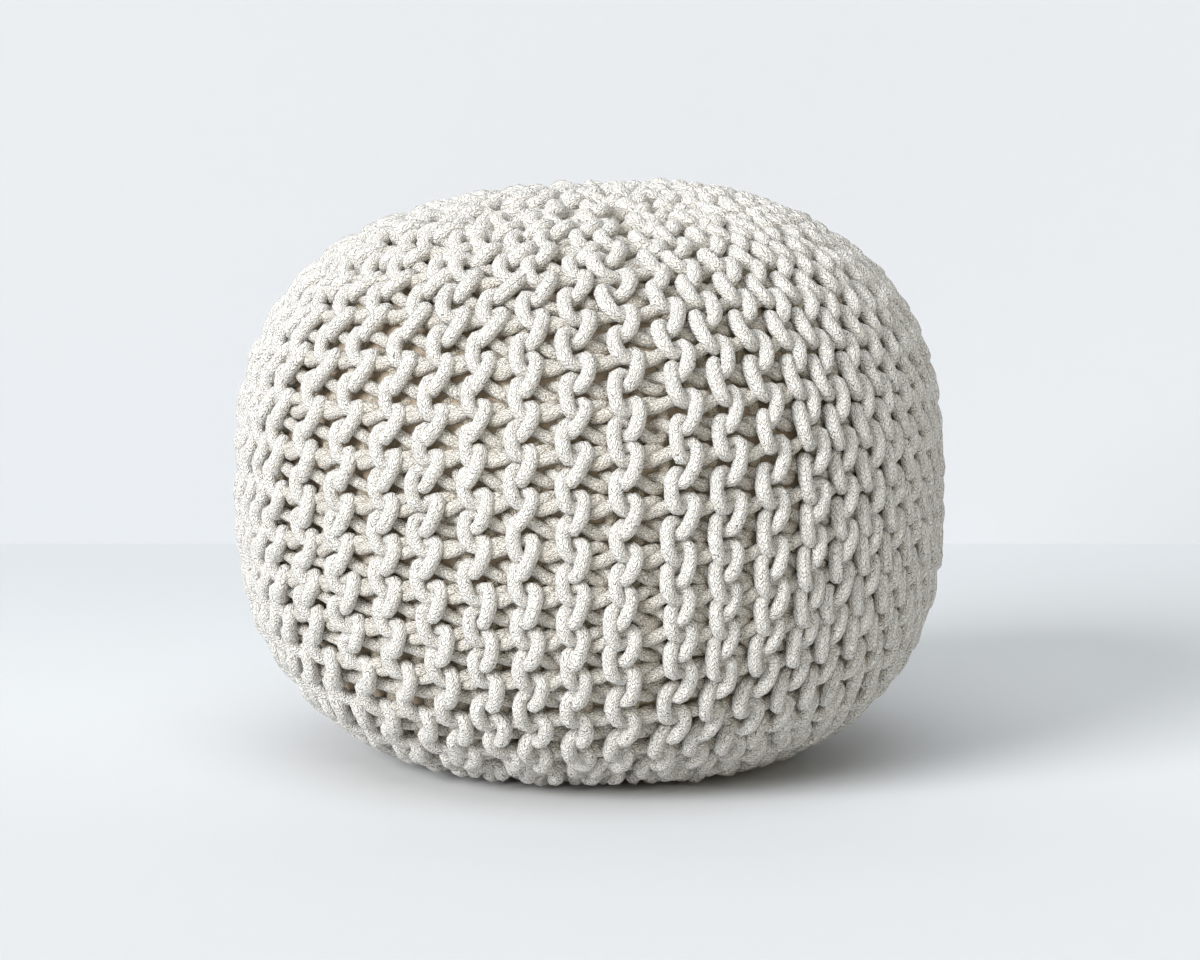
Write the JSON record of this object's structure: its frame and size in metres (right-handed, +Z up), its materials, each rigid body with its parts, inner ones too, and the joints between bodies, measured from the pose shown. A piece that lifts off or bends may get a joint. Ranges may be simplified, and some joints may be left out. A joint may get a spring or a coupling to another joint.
{
  "type": "knitted pouf",
  "caption": "Round knitted pouf: a thick off-white cotton cord cover in garter stitch, its ridges running from top to underside, over a filled beige bag.",
  "frame": {"origin": "centre of the flat underside, on the surface that the pouf stands on", "axes": "+Z up, through the gathered top; -Y is the side that the picture shows"},
  "size_m": [0.4246, 0.4246, 0.3431],
  "materials": {
    "cotton_cord": "matt",
    "bag_cloth": "matt"
  },
  "bodies": {
    "root": {"knit_cover": "cotton_cord", "inner_bag": "bag_cloth"}
  },
  "joints": []
}
